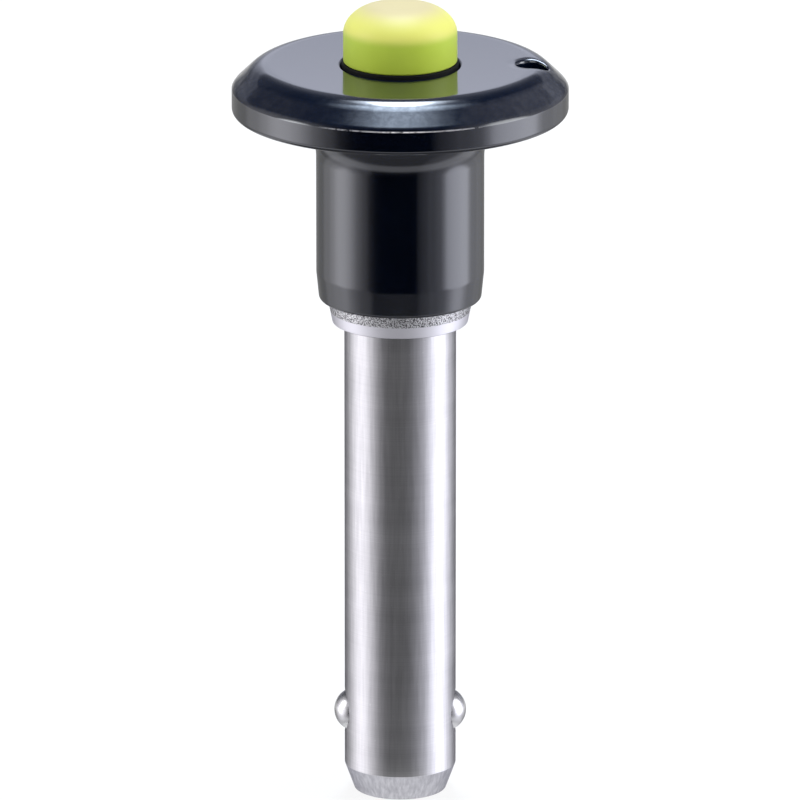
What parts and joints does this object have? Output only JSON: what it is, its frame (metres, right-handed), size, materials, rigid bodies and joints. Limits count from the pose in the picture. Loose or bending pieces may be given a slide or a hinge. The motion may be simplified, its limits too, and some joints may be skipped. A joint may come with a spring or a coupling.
{
  "type": "ball lock pin",
  "caption": "Quick-release ball lock pin: a push button in its mushroom grip lets sprung locking balls sink into a smooth shank with a collar.",
  "frame": {"origin": "middle of the flat face at the shank's tip, on which the pin stands", "axes": "+Z along the shank, from the tip towards the button; the balls and the lanyard hole lie on the X axis, the hole on +X"},
  "size_m": [0.048, 0.048, 0.1167],
  "materials": {
    "stainless_steel": "fine ground, blasted band under the grip",
    "ball_steel": "polished",
    "spring_steel": "drawn wire",
    "black_anodised": "gloss black anodised",
    "black_plastic": "matt",
    "lime_plastic": "matt moulded"
  },
  "bodies": {
    "housing": {"grip": "black_anodised", "shank": "stainless_steel", "return_spring": "spring_steel"},
    "plunger": {"spindle": "stainless_steel", "button_hub": "black_plastic", "button_cap": "lime_plastic"},
    "left_ball": {"left_ball": "ball_steel"},
    "right_ball": {"right_ball": "ball_steel"}
  },
  "joints": [
    {"name": "button_press", "type": "slide", "parent": "housing", "child": "plunger", "axis": [0, 0, -1], "range_m": [0, 0.0045], "stiffness_N_per_m": 860, "springref_m": -0.002, "deforming": ["return_spring"]},
    {"name": "left_ball_slide", "type": "slide", "parent": "housing", "child": "left_ball", "axis": [1, 0, 0], "range_m": [0, 0.00158]},
    {"name": "right_ball_slide", "type": "slide", "parent": "housing", "child": "right_ball", "axis": [-1, 0, 0], "range_m": [0, 0.00158]}
  ],
  "couplings": [
    {"joint": "left_ball_slide", "follows": "button_press", "ratio": 0.3511},
    {"joint": "right_ball_slide", "follows": "button_press", "ratio": 0.3511}
  ]
}
